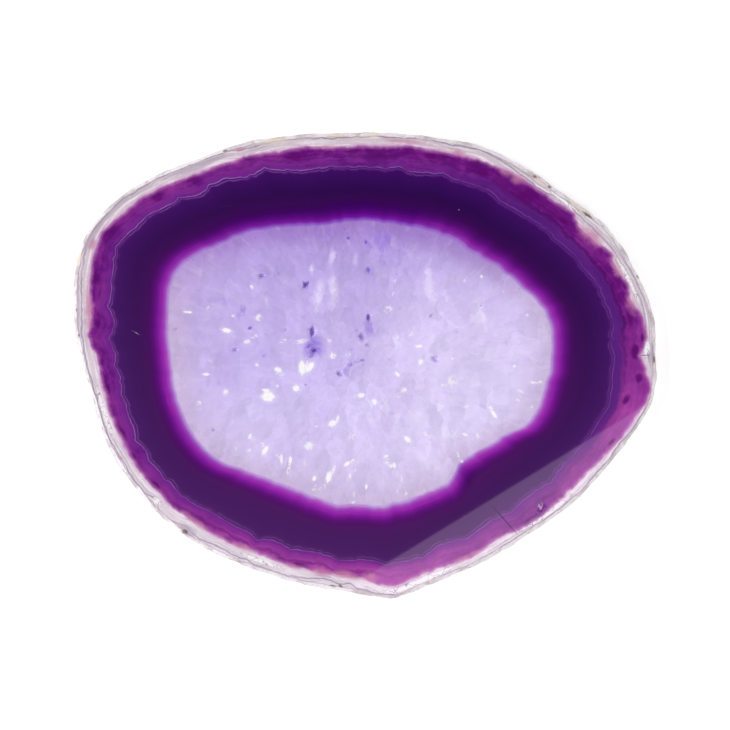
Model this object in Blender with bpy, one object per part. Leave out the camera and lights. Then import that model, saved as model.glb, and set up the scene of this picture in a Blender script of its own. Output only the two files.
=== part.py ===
"""Agate slice: one flat slab of banded stone, sawn across a nodule.

Both faces are flat and polished. The wall between them is the nodule's own rough rind,
which bulges a little past the edges of the faces. The quartz in the middle has a few
small pits with flat crystal sides.

The slab lies on its back face. +X runs along its long side, +Z points out of the front
face, and the origin is at the middle of its footprint, on the back face.
"""

import math

import bmesh
import bpy
import numpy as np

MM = 0.001
NODE_NAME = "agate_slice"

# Slab
THICKNESS = 5.0 * MM

# Widest line of the rind, as bearing in degrees from +X and distance in mm from the
# middle, with a point at each corner, hollow and turn of the outline.
RIM = [
    (4, 49.9), (11, 50.2), (20, 49.1), (30, 47.7), (39, 45.4), (49, 43.9), (62, 42.5),
    (75, 40.7), (91, 39.9), (105, 41.0), (118, 43.3), (130, 45.9), (140, 49.1), (148, 51.6),
    (156, 52.8), (164, 51.8), (173, 50.0), (184, 47.5), (195, 46.3), (210, 44.4),
    (226, 42.0), (238, 40.2), (250, 39.1), (261, 38.8), (270, 39.3), (277, 40.2),
    (284, 39.4), (292, 39.0), (303, 39.4), (312, 40.0), (325, 42.4), (339, 45.4),
    (348, 48.2), (354, 49.9),
]
STEPS_AROUND = 288

# Rind: each polished face stops short of the widest line, and the back face more so
# towards the bearing where the nodule narrowed.
FRONT_INSET = 0.65 * MM
BACK_INSET = 0.7 * MM
BACK_LEAN = 0.9 * MM
LEAN_BEARING = 250.0
BULGE_POWER = 2.6
WALL_HEIGHTS = (0.0, 0.09, 0.22, 0.36, 0.5, 0.64, 0.78, 0.91, 1.0)

# Lumps on the rind: waves around, turns up the wall, height in mm, starting angle.
LUMPS = [
    (13, 0.10, 0.10, 20),
    (19, -0.45, 0.09, 75),
    (26, 0.60, 0.09, 140),
    (37, -0.20, 0.08, 215),
    (43, 0.90, 0.07, 310),
    (54, -0.80, 0.07, 95),
    (67, 0.35, 0.06, 180),
]

# Crystal pits: x, y, half length, half width and depth in mm, and the turn in degrees.
FRONT_PITS = [
    (-10.1, 13.7, 0.80, 0.50, 0.60, 60),
    (-8.9, 5.9, 1.00, 0.45, 0.60, 115),
    (-8.6, 2.6, 0.75, 0.60, 0.65, 20),
    (12.0, 1.1, 0.90, 0.60, 0.70, 150),
    (0.7, 8.3, 0.70, 0.45, 0.50, 80),
    (-0.4, 4.9, 1.10, 0.60, 0.70, 105),
    (0.7, 16.4, 0.70, 0.45, 0.50, 95),
    (-17.6, 15.3, 0.75, 0.50, 0.55, 40),
    (-22.1, 2.7, 0.60, 0.45, 0.45, 10),
    (-4.3, -1.3, 0.70, 0.50, 0.55, 135),
]
BACK_PITS = [
    (-12.5, 9.0, 0.90, 0.60, 0.60, 35),
    (4.5, 11.5, 0.80, 0.50, 0.55, 120),
    (9.5, -4.0, 1.00, 0.60, 0.70, 75),
    (-5.0, -8.5, 0.80, 0.50, 0.50, 160),
    (-19.0, -3.0, 0.75, 0.55, 0.55, 95),
]
PIT_SIDES = 6
PIT_LIP = 0.25 * MM
PIT_FLOOR_SHARE = 0.3

# Dyed purple agate, polished: colour, roughness and metallic value.
STONE_COLOUR = (0.16, 0.06, 0.31, 1.0)
STONE_ROUGHNESS = 0.12
STONE_METALLIC = 0.0


def clear_scene():
    """Remove every object, so that the file holds the slice alone."""
    for item in list(bpy.data.objects):
        bpy.data.objects.remove(item, do_unlink=True)


def smooth_around(points, bearings):
    """Closed smooth curve through (bearing, value) points, read at the bearings given.

    Each stretch is a cubic whose slope at a point is that of the line between the
    point's two neighbours.
    """
    knots = np.array(points, dtype=float)
    turn = np.array([360.0, 0.0])
    knots = np.concatenate([knots[-2:] - turn, knots, knots[:2] + turn])
    at, value = knots[:, 0], knots[:, 1]
    slope = (value[2:] - value[:-2]) / (at[2:] - at[:-2])
    index = np.searchsorted(at, bearings, side="right") - 1
    span = at[index + 1] - at[index]
    t = (bearings - at[index]) / span
    start = (1 + 2 * t) * (1 - t) ** 2 * value[index]
    end = t ** 2 * (3 - 2 * t) * value[index + 1]
    leave = t * (1 - t) ** 2 * span * slope[index - 1]
    arrive = t ** 2 * (t - 1) * span * slope[index]
    return start + end + leave + arrive


def wall_rings():
    """Corner points of the wall, as an array of rings from the back face to the front.

    A ring is the widest line drawn in by the inset, which falls off towards the middle
    of the thickness as a power of the height. Between the faces the lumps are added.
    """
    bearings = np.linspace(0.0, 360.0, STEPS_AROUND, endpoint=False)
    angle = np.radians(bearings)
    widest = smooth_around(RIM, bearings) * MM
    lean = (1 + np.cos(angle - math.radians(LEAN_BEARING))) / 2
    rings = []
    for height in WALL_HEIGHTS:
        away = abs(2 * height - 1) ** BULGE_POWER
        inset = FRONT_INSET if height > 0.5 else BACK_INSET + BACK_LEAN * lean
        lumps = sum(
            size * MM * np.sin(waves * angle + math.radians(start) + math.tau * turns * height)
            for waves, turns, size, start in LUMPS
        )
        radius = widest - inset * away + lumps
        ring = np.stack([radius * np.cos(angle), radius * np.sin(angle)], axis=1)
        rings.append(np.column_stack([ring, np.full(STEPS_AROUND, height * THICKNESS)]))
    rings = np.array(rings)
    low, high = rings[..., :2].min(axis=(0, 1)), rings[..., :2].max(axis=(0, 1))
    rings[..., :2] -= (low + high) / 2
    return rings


def make_slab():
    """Slab: bands of quads between the wall's rings, and one flat face on each end."""
    rings = wall_rings()
    shape = bmesh.new()
    corners = [[shape.verts.new(point) for point in ring] for ring in rings]
    for lower, upper in zip(corners, corners[1:]):
        for i in range(STEPS_AROUND):
            j = (i + 1) % STEPS_AROUND
            shape.faces.new((lower[i], lower[j], upper[j], upper[i]))
    shape.faces.new(corners[-1])
    shape.faces.new(list(reversed(corners[0])))
    mesh = bpy.data.meshes.new(NODE_NAME)
    shape.to_mesh(mesh)
    shape.free()
    slab = bpy.data.objects.new(NODE_NAME, mesh)
    bpy.context.collection.objects.link(slab)
    return slab


def add_pit(shape, pit, face_height, outward):
    """One pit cutter: a six-sided frustum that narrows into the stone.

    It starts above the face by the lip, where it is wider in proportion, so that its
    size at the face is the pit's own.
    """
    x, y, half_length, half_width, depth, turn = pit
    depth = depth * MM
    mouth_growth = (1 - PIT_FLOOR_SHARE) * PIT_LIP / depth
    turned = math.radians(turn)
    layers = []
    for size, level in ((PIT_FLOOR_SHARE, -depth), (1 + mouth_growth, PIT_LIP)):
        layer = []
        for side in range(PIT_SIDES):
            angle = math.tau * side / PIT_SIDES
            along = half_length * MM * size * math.cos(angle)
            across = half_width * MM * size * math.sin(angle)
            point = (
                x * MM + along * math.cos(turned) - across * math.sin(turned),
                y * MM + along * math.sin(turned) + across * math.cos(turned),
                face_height + outward * level,
            )
            layer.append(shape.verts.new(point))
        layers.append(layer)
    floor, mouth = layers
    for i in range(PIT_SIDES):
        j = (i + 1) % PIT_SIDES
        shape.faces.new((floor[i], floor[j], mouth[j], mouth[i]))
    shape.faces.new(mouth)
    shape.faces.new(list(reversed(floor)))


def make_pit_cutter():
    """All pit cutters in one mesh, hidden from the render and shown as a wire."""
    shape = bmesh.new()
    for pit in FRONT_PITS:
        add_pit(shape, pit, THICKNESS, 1)
    for pit in BACK_PITS:
        add_pit(shape, pit, 0.0, -1)
    bmesh.ops.recalc_face_normals(shape, faces=shape.faces)
    mesh = bpy.data.meshes.new("pit_cutter")
    shape.to_mesh(mesh)
    shape.free()
    cutter = bpy.data.objects.new("pit_cutter", mesh)
    cutter.hide_render = True
    cutter.display_type = "WIRE"
    bpy.context.collection.objects.link(cutter)
    return cutter


def make_stone():
    """Dyed agate with a polish, as one Principled material."""
    stone = bpy.data.materials.new("dyed_agate")
    stone.use_nodes = True
    shader = stone.node_tree.nodes["Principled BSDF"]
    shader.inputs["Base Color"].default_value = STONE_COLOUR
    shader.inputs["Roughness"].default_value = STONE_ROUGHNESS
    shader.inputs["Metallic"].default_value = STONE_METALLIC
    return stone


def main():
    """Build the slice: the slab, its stone and the pits cut into both faces."""
    clear_scene()
    slab = make_slab()
    slab.data.materials.append(make_stone())
    cut = slab.modifiers.new("crystal_pits", "BOOLEAN")
    cut.operation = "DIFFERENCE"
    cut.solver = "EXACT"
    cut.object = make_pit_cutter()
    slab.data.shade_smooth()
    slab.data.set_sharp_from_angle(angle=math.radians(30))


main()
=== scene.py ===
"""Looks of the agate slice: a polished slab of dyed agate, seen from straight above.

The slab is one closed mesh, worked out from the same rim and wall as the CAD solid and
put in its place. How far each point lies from the edge of the quartz, the light line,
the dye's front and the vein in the rind is kept on the mesh, and the stone's material
paints its bands from those distances. Lengths in the tables are in mm, bearings in
degrees from +X, and depths are inwards from the widest line of the rind.
"""

import functools
import math
import types

import bpy
import numpy as np
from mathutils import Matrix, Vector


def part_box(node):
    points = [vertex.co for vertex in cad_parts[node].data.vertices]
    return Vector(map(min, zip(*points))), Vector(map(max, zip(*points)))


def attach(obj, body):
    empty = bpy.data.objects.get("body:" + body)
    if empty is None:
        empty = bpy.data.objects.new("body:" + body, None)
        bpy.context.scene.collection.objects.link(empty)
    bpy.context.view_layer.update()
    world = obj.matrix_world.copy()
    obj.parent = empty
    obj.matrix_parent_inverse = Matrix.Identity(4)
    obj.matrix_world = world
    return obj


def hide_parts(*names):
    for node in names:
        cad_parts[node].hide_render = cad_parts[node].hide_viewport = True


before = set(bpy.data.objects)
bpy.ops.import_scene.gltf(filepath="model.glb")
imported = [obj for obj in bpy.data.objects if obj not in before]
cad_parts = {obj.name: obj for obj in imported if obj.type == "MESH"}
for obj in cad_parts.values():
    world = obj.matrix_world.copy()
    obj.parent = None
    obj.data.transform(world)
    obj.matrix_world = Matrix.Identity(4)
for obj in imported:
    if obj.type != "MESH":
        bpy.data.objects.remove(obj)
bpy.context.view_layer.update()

MM = 0.001
THICKNESS = 5.0

# Widest line of the rind: bearing, distance from the middle.
RIM = [
    (4, 49.9), (11, 50.2), (20, 49.1), (30, 47.7), (39, 45.4), (49, 43.9), (62, 42.5),
    (75, 40.7), (91, 39.9), (105, 41.0), (118, 43.3), (130, 45.9), (140, 49.1), (148, 51.6),
    (156, 52.8), (164, 51.8), (173, 50.0), (184, 47.5), (195, 46.3), (210, 44.4),
    (226, 42.0), (238, 40.2), (250, 39.1), (261, 38.8), (270, 39.3), (277, 40.2),
    (284, 39.4), (292, 39.0), (303, 39.4), (312, 40.0), (325, 42.4), (339, 45.4),
    (348, 48.2), (354, 49.9),
]
# How far in from the widest line the faces' edges lie, how much further the back's does on
# the side that it leans to, and the power that rounds the wall between them.
FRONT_INSET = 0.65
BACK_INSET = 0.7
BACK_LEAN = 0.9
LEAN_BEARING = 250.0
BULGE_POWER = 2.6

# Lumps on the rind: waves around, turns up the wall, height, starting angle. The looks keep
# a share of their height and add grit, coarse enough to show: height, cells up the wall,
# cells around, seed.
LUMPS = [
    (13, 0.10, 0.10, 20), (19, -0.45, 0.09, 75), (26, 0.60, 0.09, 140), (37, -0.20, 0.08, 215),
    (43, 0.90, 0.07, 310), (54, -0.80, 0.07, 95), (67, 0.35, 0.06, 180),
]
LUMP_SHARE = 0.4
GRIT = [(0.06, 4.5, 250, 1), (0.05, 9, 520, 2)]

# Crystal pits, and a chip by the front edge: x, y, half length, half width, depth, turn.
FRONT_PITS = [
    (-10.1, 13.7, 0.80, 0.50, 0.60, 60), (-8.9, 5.9, 1.00, 0.45, 0.60, 115),
    (-8.6, 2.6, 0.75, 0.60, 0.65, 20), (12.0, 1.1, 0.90, 0.60, 0.70, 150),
    (0.7, 8.3, 0.70, 0.45, 0.50, 80), (-0.4, 4.9, 1.10, 0.60, 0.70, 105),
    (0.7, 16.4, 0.70, 0.45, 0.50, 95), (-17.6, 15.3, 0.75, 0.50, 0.55, 40),
    (-22.1, 2.7, 0.60, 0.45, 0.45, 10), (-4.3, -1.3, 0.70, 0.50, 0.55, 135),
]
BACK_PITS = [
    (-12.5, 9.0, 0.90, 0.60, 0.60, 35), (4.5, 11.5, 0.80, 0.50, 0.55, 120),
    (9.5, -4.0, 1.00, 0.60, 0.70, 75), (-5.0, -8.5, 0.80, 0.50, 0.50, 160),
    (-19.0, -3.0, 0.75, 0.55, 0.55, 95),
]
PIT_FLOOR_SHARE = 0.3
CHIP = (30.0, -24.2, 0.70, 0.35, 0.25, 60)

# Painted glints: white and pale highlights where crystal faces, specks and a scratch catch
# the light, painted into the stone's colour: x, y, half length, half width, turn, strength.
GLINTS = [
    (-16.5, -5.3, 1.28, 0.81, 0, 1.0), (-17.0, -4.2, 0.26, 0.51, 80, 0.9),
    (-10.7, -0.4, 1.37, 0.56, 92, 0.95), (-9.4, -0.3, 1.20, 0.51, 52, 0.95),
    (-14.8, -0.7, 0.68, 0.40, -20, 0.9), (-14.2, -1.5, 0.30, 0.51, 90, 0.5),
    (-11.7, -3.9, 0.63, 0.51, -20, 0.95), (-14.9, -3.5, 0.27, 0.26, 0, 0.6),
    (-18.1, 8.2, 0.60, 0.57, 0, 0.6), (-23.6, 6.0, 0.90, 0.38, -10, 0.9),
    (-20.1, 4.1, 0.68, 0.31, 15, 0.6), (-18.5, 5.1, 0.47, 0.26, 10, 0.45),
    (-27.1, -1.5, 0.68, 0.24, 0, 0.7), (-23.7, -4.6, 0.51, 0.51, 0, 0.65),
    (-28.3, -6.4, 0.51, 0.34, 0, 0.55), (-19.3, 13.4, 0.47, 0.24, 110, 0.7),
    (-26.5, 9.8, 0.68, 0.60, 0, 0.3), (-30.7, 9.2, 0.43, 0.21, -5, 0.6),
    (-29.9, 9.1, 0.39, 0.19, 0, 0.8), (-5.4, 1.7, 0.57, 0.51, 0, 0.7), (-2.8, 1.8, 0.51, 0.43, 0, 0.5),
    (-6.0, 4.3, 0.51, 0.29, 100, 0.5), (-13.9, 4.2, 0.68, 0.29, 20, 0.5),
    (-11.0, 4.1, 1.28, 0.34, 12, 0.55), (-18.4, 0.1, 0.36, 0.29, 30, 0.6),
    (-22.5, 8.5, 0.30, 0.21, 0, 0.6), (-0.6, -5.1, 0.68, 0.39, 10, 0.8),
    (-5.5, -9.9, 0.77, 0.49, 25, 0.9), (-4.6, -9.1, 0.68, 0.21, 75, 0.75),
    (-9.5, -13.7, 0.94, 0.64, 5, 0.65), (-19.6, -12.1, 0.51, 0.26, 60, 0.75),
    (-19.0, -12.8, 0.60, 0.21, 0, 0.4), (-19.7, -14.5, 0.39, 0.26, 20, 0.6),
    (-22.0, -14.2, 0.26, 0.26, 0, 0.5), (-17.0, -14.5, 0.98, 0.36, 58, 0.95),
    (-17.5, -13.4, 0.43, 0.26, -30, 0.45), (-14.2, -16.0, 0.94, 0.26, 90, 0.7),
    (-14.9, -15.4, 0.34, 0.26, 90, 0.45), (-12.7, -16.2, 0.73, 0.27, 84, 0.85),
    (-13.0, -17.9, 0.90, 0.31, 80, 0.5), (-10.3, -16.6, 0.86, 0.21, 90, 0.3),
    (-8.6, -19.3, 0.51, 0.29, 70, 0.85), (-6.1, -19.0, 1.11, 0.48, 76, 0.95),
    (-5.2, -17.6, 0.64, 0.21, 75, 0.7), (-3.0, -16.8, 0.64, 0.31, 40, 0.95),
    (-2.0, -16.2, 0.39, 0.17, 48, 0.7), (-2.6, -19.1, 0.77, 0.31, 72, 0.5),
    (-1.7, -18.0, 0.34, 0.21, 50, 0.4), (-8.7, -21.2, 0.34, 0.21, 30, 0.55),
    (-7.5, -21.0, 0.56, 0.26, 35, 0.35), (0.3, -20.7, 0.47, 0.19, 85, 0.85),
    (-1.8, -22.1, 0.68, 0.21, 88, 0.4), (-2.0, -23.4, 0.34, 0.21, 0, 0.5),
    (3.7, -15.5, 0.43, 0.26, 20, 0.7), (3.8, -16.6, 0.34, 0.29, -30, 0.6),
    (4.5, -17.2, 0.43, 0.29, -30, 0.7), (5.1, -17.0, 0.56, 0.24, 105, 0.8),
    (6.3, -19.4, 0.64, 0.22, 100, 0.5), (7.1, -21.9, 0.39, 0.22, 100, 0.5),
    (5.6, -21.5, 0.43, 0.22, 90, 0.35), (12.5, -17.5, 0.47, 0.34, 90, 0.3),
    (7.3, -12.6, 0.77, 0.39, -42, 0.95), (1.7, -6.2, 0.60, 0.38, 100, 0.8),
    (5.6, -1.5, 0.56, 0.27, -45, 0.9), (6.8, -4.1, 0.39, 0.34, 50, 0.75),
    (6.0, -4.9, 0.68, 0.43, 60, 0.35), (9.6, 0.6, 0.56, 0.39, 80, 0.8),
    (15.0, 1.2, 0.26, 0.21, 0, 0.6), (13.3, -3.4, 0.29, 0.24, 0, 0.5),
    (17.4, -7.0, 0.47, 0.24, 10, 0.5), (21.5, -7.2, 0.31, 0.26, 0, 0.7),
    (22.1, -8.3, 0.90, 0.31, -55, 0.9), (28.7, -2.9, 0.47, 0.21, -12, 0.55),
    (30.0, -2.8, 0.39, 0.21, 5, 0.5), (26.6, -4.4, 0.68, 0.22, -25, 0.55),
    (26.2, -5.9, 0.47, 0.22, -40, 0.5), (28.7, -7.2, 0.47, 0.34, 60, 0.45),
    (25.6, -0.1, 0.26, 0.26, 0, 0.7), (17.2, -11.8, 0.51, 0.24, -20, 0.75),
    (19.3, -12.0, 0.56, 0.26, 80, 0.5), (10.3, -11.6, 0.51, 0.34, -20, 0.45),
    (11.0, -12.2, 0.51, 0.34, 30, 0.4), (16.0, -15.3, 0.51, 0.21, -70, 0.5),
    (16.6, -16.4, 0.30, 0.24, 0, 0.6), (9.3, 3.3, 0.68, 0.27, 5, 0.8), (7.8, 5.5, 0.60, 0.47, 0, 0.4),
    (4.1, 9.4, 0.86, 0.77, 0, 0.45), (5.1, 14.5, 0.43, 0.34, 90, 0.35),
    (4.9, 12.2, 0.43, 0.39, 90, 0.3), (20.0, 15.2, 0.27, 0.26, 0, 0.7),
    (17.1, 14.5, 0.26, 0.22, 0, 0.5), (23.6, 12.7, 0.43, 0.22, 0, 0.35),
    (27.8, 8.6, 0.24, 0.24, 0, 0.45), (15.8, 6.6, 0.51, 0.19, 0, 0.4), (1.8, 3.6, 0.43, 0.38, 0, 0.4),
    (15.1, -2.6, 1.03, 0.90, 80, 0.45), (-2.1, -12.1, 0.77, 0.60, 90, 0.35),
    (-8.2, -10.4, 0.43, 0.19, 0, 0.45), (-39.1, 5.6, 0.8, 0.06, -29, 0.3),
    (16.1, 26.6, 0.17, 0.12, 60, 0.4), (-10.2, 24.9, 0.16, 0.13, 0, 0.6),
    (30.05, -24.15, 0.85, 0.45, 82, 0.28),
]
# Violet crystal faces: the same six values. A strength above 2 makes a dark crack.
MARKS = [
    (-10.3, 14.0, 0.47, 0.22, -55, 1.0), (-9.8, 14.0, 0.51, 0.22, 65, 0.9),
    (-9.0, 5.8, 1.03, 0.31, 86, 1.0), (-9.2, 3.5, 0.43, 0.26, 20, 0.5),
    (-8.7, 2.5, 0.51, 0.26, 50, 0.8), (-8.0, 2.7, 0.43, 0.26, 70, 0.6),
    (-9.6, 3.2, 0.29, 0.26, 0, 0.6), (-9.1, 1.6, 0.43, 0.26, 30, 0.6),
    (-19.6, 6.4, 0.39, 0.26, 20, 0.8), (-13.7, 6.1, 0.27, 0.26, 0, 0.6),
    (-14.6, 15.9, 0.47, 0.30, 80, 0.35), (-17.5, 15.3, 0.51, 0.34, 0, 0.2),
    (-22.6, 2.7, 0.94, 0.39, 0, 0.2), (-20.8, 9.7, 0.60, 0.60, 0, 0.4),
    (-4.3, -1.5, 0.64, 0.26, -15, 0.5), (-0.9, 4.9, 0.56, 0.34, 100, 0.6),
    (-2.4, 0.2, 0.47, 0.26, 0, 0.6), (-0.4, 0.9, 0.43, 0.19, 0, 0.7), (0.6, 8.2, 0.77, 0.31, 95, 0.8),
    (0.2, 21.1, 0.34, 0.21, 90, 0.9), (-2.8, 21.8, 0.34, 0.26, -50, 0.8),
    (0.9, 16.3, 0.51, 0.39, 0, 0.25), (-32.4, 6.2, 0.43, 0.21, 30, 0.5),
    (-17.1, 1.7, 0.56, 0.24, 20, 0.4), (0.4, 3.5, 0.43, 0.29, -30, 0.6),
    (-2.3, 2.8, 0.43, 0.34, 0, 0.45), (-1.4, 5.9, 0.43, 0.29, 110, 0.5),
    (11.3, 8.5, 0.47, 0.19, 50, 0.5), (12.1, 1.1, 0.68, 0.51, -35, 0.3),
    (15.8, 5.7, 0.51, 0.34, 0, 0.3), (-25.9, -11.0, 0.26, 0.26, 0, 0.6),
    (-10.1, -3.3, 0.21, 0.21, 0, 0.6), (-5.8, -12.6, 0.51, 0.17, 10, 0.35),
    (-7.8, -7.3, 0.51, 0.17, -60, 0.3), (-27.6, 15.7, 0.34, 0.22, -30, 0.35),
    (-3.4, 23.4, 0.43, 0.26, -30, 0.35), (6.1, 9.7, 0.51, 0.34, 60, 0.3),
    (4.1, 1.1, 0.22, 0.21, 0, 0.4), (23.5, -25.9, 3.7, 0.1, -48.6, 3.0),
    (30.85, -24.65, 0.6, 0.1, 66, 2.8), (29.35, -25.3, 0.16, 0.1, 20, 2.8),
    (47.8, 1.75, 0.8, 0.05, 4, 2.2),
]
# Pale clouds in the quartz: x, y, half length, half width, turn, strength.
CLOUDS = [
    (19.5, 8.8, 2.74, 2.57, 0, 0.55), (20.7, 1.6, 2.57, 1.71, 0, 0.45),
    (11.0, 13.8, 3.08, 1.20, 88, 0.6), (13.5, 10.9, 1.88, 1.20, 80, 0.35),
    (25.9, 3.7, 1.88, 1.54, 60, 0.25), (-5.2, 12.9, 3.4, 1.1, 88, 0.5),
    (-7.8, 12.2, 3.2, 0.8, 86, 0.4), (-5.5, 18.7, 1.71, 0.77, 75, 0.5),
    (-9.1, 16.4, 1.46, 0.51, 100, 0.6), (-16.8, 11.0, 1.54, 0.86, 88, 0.35),
    (14.6, -12.1, 2.05, 1.54, -30, 0.6), (13.0, -7.2, 1.71, 1.54, 80, 0.4),
    (8.9, -8.5, 2.05, 1.37, 20, 0.45), (18.0, -3.3, 3.42, 2.23, 20, 0.3),
    (-0.9, -9.3, 5.14, 3.08, 10, 0.25), (-1.7, 17.7, 1.20, 0.60, 80, 0.35),
    (-26.5, 0.8, 1.54, 0.34, -8, 0.35), (-27.2, -1.5, 1.20, 0.43, 0, 0.25),
    (6.0, 4.4, 2.57, 1.88, 30, 0.35), (2.6, -6.8, 3.08, 2.23, -20, 0.35),
    (-6.5, 9.0, 7.0, 4.5, 0, 0.22), (-19.0, 3.5, 6.0, 4.0, 0, 0.18),
]
# Violet clouds in the quartz: the same six values.
VIOLETS = [
    (-8.8, 3.1, 1.9, 2.2, 0, 0.9), (-9.4, 6.8, 1.54, 0.77, 85, 0.5),
    (0.9, 6.6, 2.6, 1.8, 90, 0.45), (0.7, 16.2, 1.20, 1.03, 0, 0.5),
    (-21.1, 8.5, 1.46, 1.03, 80, 0.5), (-24.5, 11.2, 2.23, 0.94, -5, 0.4),
    (3.4, 21.5, 3.94, 2.05, -15, 0.55), (-6.0, 22.9, 3.42, 1.37, -8, 0.35),
    (-11.1, 22.2, 2.91, 1.03, -5, 0.25), (-22.6, 2.7, 1.54, 0.77, 0, 0.4),
    (-3.4, -1.1, 1.54, 1.03, -30, 0.4), (4.6, 17.7, 1.88, 2.91, 60, 0.3),
    (-17.1, 2.3, 3.08, 1.71, 0, 0.35), (-1.4, 0.9, 2.23, 1.71, 0, 0.3),
    (-16.6, 15.7, 2.05, 1.03, 0, 0.3), (12.2, 0.9, 1.37, 1.03, -30, 0.4),
]
# Edge of the quartz: bearing in degrees, depth inwards from the widest line in mm.
QUARTZ_EDGE = [
    (0, 17.8), (10, 17.5), (18, 17.1), (22, 17.4), (26.3, 18.1), (33, 18.0), (37, 17.3),
    (40, 17.3), (48.8, 17.2), (53.8, 16.6), (60, 16.6), (68, 16.0), (78, 15.4), (87.5, 14.9),
    (90, 14.8), (98, 15.1), (105, 15.8), (114, 16.1), (120, 16.0), (124, 15.8), (130, 15.6),
    (135, 16.0), (139.4, 16.6), (145, 16.6), (150, 16.5), (167, 16.6), (170.6, 16.1),
    (176.3, 15.8), (180, 15.1), (183.8, 14.4), (188, 14.0), (195.6, 13.9), (199.4, 13.7),
    (205, 13.6), (210, 13.7), (215, 14.3), (218.8, 15.0), (227.5, 15.8), (233.8, 15.7),
    (240, 15.4), (247.5, 15.0), (252, 14.8), (258.8, 14.3), (263, 14.7), (270, 15.2), (276, 15.7),
    (281, 15.5), (285, 14.9), (290.6, 14.6), (297.5, 14.7), (303.8, 14.6), (307.5, 14.9),
    (310.6, 15.6), (313.8, 16.7), (318.8, 17.3), (323.8, 17.5), (332.5, 17.3), (336.3, 16.8),
    (338.8, 15.9), (342.5, 16.1), (347, 17.1), (351.9, 18.2), (355, 18.6),
]
# Cusps of the light line: bearing, depth in mm, and how much deeper the scallop hangs on
# its way to the next cusp. It is crinkled too: size in mm, cells around, seed.
LIGHT_LINE = [
    (0.5, 7.11, 0.31), (9.4, 7.17, 0.26), (18.8, 6.93, 0.86), (39.4, 6.73, 0.65), (55, 6.47, 0.68),
    (68, 6.13, 0.48), (80.6, 5.87, 0.26), (90, 5.91, 0.09), (100, 5.92, 0.68), (117, 5.29, 0.68),
    (125.6, 5.33, 0.00), (130.6, 5.39, 0.94), (138, 5.65, 0.51), (146, 5.62, 0.34),
    (154.4, 5.72, 0.68), (167, 6.25, 1.03), (173.8, 5.79, 0.57), (180, 5.72, 0.26),
    (186.9, 5.36, 0.31), (192, 5.14, 0.55), (198, 4.79, 0.57), (203.8, 4.97, 0.34),
    (209.4, 5.17, 0.31), (215, 4.97, 1.11), (238.8, 5.22, 0.62), (248, 5.39, 0.60),
    (262.5, 5.22, 1.03), (286.6, 4.93, 0.77), (300.6, 4.97, 0.60), (315, 4.86, 0.80),
    (328, 5.39, 0.51), (339.4, 5.92, 0.09), (350.6, 6.68, 0.77),
]
CRINKLES = [(0.34, 150, 4), (0.16, 390, 7)]
CRINKLE_MIDDLE = 0.2
# How far in the dye stops: bearing, depth in mm.
DYE_FRONT = [
    (0.5, 2.4), (2.2, 2.75), (5.4, 1.35), (10, 1.9), (12, 2.9), (14, 3.4), (17, 2.4), (21, 3.08),
    (24.5, 2.23), (27, 2.9), (30, 3.6), (33, 3.55), (36, 1.85), (39.4, 2.1), (42, 2.15), (46, 1.97),
    (52, 2.2), (58, 2.35), (65, 2.65), (71, 2.4), (79, 2.15), (85, 2.5), (89, 2.5), (101, 2.7),
    (105, 2.2), (112, 2.75), (119, 2.5), (124, 2.65), (135, 2.65), (143, 2.5), (148, 2.9),
    (153, 2.3), (157, 2.6), (162, 2.9), (170, 3.35), (174, 2.3), (178.5, 3.1), (183, 2.6),
    (188, 2.5), (198, 2.7), (204, 2.6), (209, 2.7), (212, 2.8), (216, 2.6), (219, 3.0), (224, 3.1),
    (228, 2.91), (232, 2.91), (237, 3.1), (242, 3.05), (250, 2.74), (259, 2.7), (265, 2.9),
    (269, 3.05), (272, 2.57), (278, 2.2), (286, 2.35), (292, 2.2), (299, 1.75), (306, 2.4),
    (311, 2.1), (316, 1.5), (328, 2.2), (336, 2.05), (343, 1.5), (349, 1.55), (355, 0.95),
]
# Thin grey vein in the rind: bearing, depth in mm.
VEIN = [
    (0, 1.37), (5, 1.63), (15, 1.64), (25, 1.71), (30, 1.97), (33, 2.02), (36, 1.54), (39.4, 0.79),
    (43, 1.54), (46, 1.71), (50, 1.46), (60, 0.77), (65, 0.86), (75, 0.60), (86, 0.75), (95, 0.94),
    (103, 1.08), (110, 0.77), (120, 1.28), (124, 0.68), (135, 0.51), (150, 0.86), (160, 1.37),
    (165, 1.54), (170, 1.46), (175, 1.20), (180, 0.94), (187, 0.77), (195, 0.68), (200, 0.94),
    (210, 0.82), (213, 1.54), (216, 0.68), (220, 1.03), (222, 1.71), (226, 1.20), (240, 1.11),
    (248, 0.94), (255, 1.20), (260, 1.54), (263, 1.28), (266, 1.71), (268, 1.11), (275, 0.60),
    (280, 0.43), (290, 0.60), (310, 0.60), (320, 0.68), (340, 0.86), (350, 0.77), (359, 1.20),
]
# Depths of the zones' other lines, and how each wavers: size in mm, cells around, seed.
ZONES = {
    "quartz": (QUARTZ_EDGE, 0.12, 170, 3), "front": (DYE_FRONT, 0.10, 300, 5),
    "vein": (VEIN, 0.05, 260, 6),
}
# Brightness of the magenta fringe round the quartz: bearing, share.
FRINGE_GLOW = [
    (0, 0.9), (12, 0.85), (30, 0.6), (50, 0.5), (62, 0.35), (72, 0.08), (95, 0.0), (110, 0.1),
    (130, 0.15), (140, 0.35), (150, 0.65), (180, 0.85), (195, 0.75), (210, 0.75), (225, 1.0),
    (255, 1.0), (300, 1.0), (307, 0.9), (312, 0.4), (318, 0.85), (330, 1.0), (350, 1.0),
]
# Strength of the light line: bearing, share.
LINE_STRENGTH = [
    (0, 0.25), (30, 0.15), (60, 0.25), (70, 0.40), (90, 0.45), (105, 0.6), (120, 0.85), (140, 0.7),
    (155, 0.60), (172, 0.55), (180, 0.40), (200, 0.55), (220, 0.35), (235, 0.35), (250, 0.45),
    (280, 0.3), (300, 0.4), (315, 0.35), (340, 0.25), (355, 0.30),
]
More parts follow.
